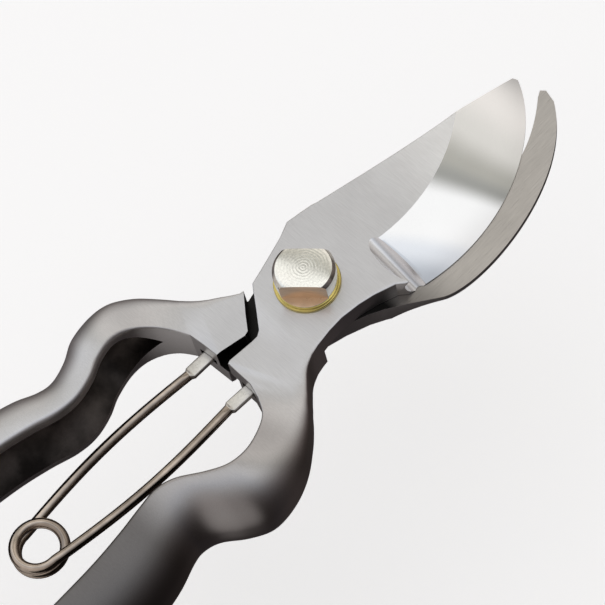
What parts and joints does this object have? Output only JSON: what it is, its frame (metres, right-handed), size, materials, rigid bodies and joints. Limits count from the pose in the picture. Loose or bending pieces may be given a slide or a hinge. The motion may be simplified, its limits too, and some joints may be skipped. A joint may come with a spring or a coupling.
{
  "type": "bypass pruning shears",
  "caption": "Forged bypass pruning shears with a curved cutting blade, a hook blade, a flat-sided pivot bolt, channel handles, a wishbone spring and a swing-over catch.",
  "frame": {"origin": "on the pivot axis, at the threaded end of the pivot bolt", "axes": "+Z along the pivot bolt from its threaded end to its domed head, +Y towards the blade tips, +X towards the handle of the cutting blade"},
  "size_m": [0.068, 0.2046, 0.0248],
  "materials": {
    "satin_steel": "satin forged steel, belt-ground on the flats",
    "blade_steel": "brushed flat with a mirror-polished ground face",
    "bolt_steel": "turned bright steel with fine rings",
    "brass": "polished",
    "spring_steel": "drawn wire, tempered to a bronze tone",
    "plated_steel": "bright plated"
  },
  "bodies": {
    "hook_side": {"hook_blade": "satin_steel", "pivot_bolt": "bolt_steel", "front_washer": "brass", "rear_washer": "plated_steel", "lock_washer": "spring_steel", "pivot_nut": "plated_steel", "catch_rivet": "plated_steel"},
    "cutting_side": {"cutting_blade": "blade_steel"},
    "spring_left_half": {"spring_left": "spring_steel"},
    "spring_right_half": {"spring_right": "spring_steel"},
    "catch": {"catch_bail": "plated_steel"}
  },
  "joints": [
    {"name": "pivot", "type": "hinge", "parent": "hook_side", "child": "cutting_side", "pos_m": [0, 0, 0.0125], "axis": [0, 0, 1], "range_deg": [-6, 30], "stiffness_Nm_per_rad": 2.5},
    {"name": "spring_foot", "type": "hinge", "parent": "hook_side", "child": "spring_left_half", "pos_m": [-0.0059, -0.0223, 0.01245], "axis": [0, 0, 1], "range_deg": [-4.6, 22.4]},
    {"name": "spring_coil", "type": "hinge", "parent": "spring_left_half", "child": "spring_right_half", "pos_m": [-0.0021, -0.0757, 0.01245], "axis": [0, 0, 1], "range_deg": [-12.3, 2.6]},
    {"name": "catch_swing", "type": "hinge", "parent": "hook_side", "child": "catch", "pos_m": [-0.02425, -0.12314, 0.01245], "axis": [0, 0, 1], "range_deg": [0, 228]}
  ],
  "couplings": [
    {"joint": "spring_foot", "follows": "pivot", "ratio": 0.7412},
    {"joint": "spring_coil", "follows": "pivot", "ratio": -0.4048}
  ]
}
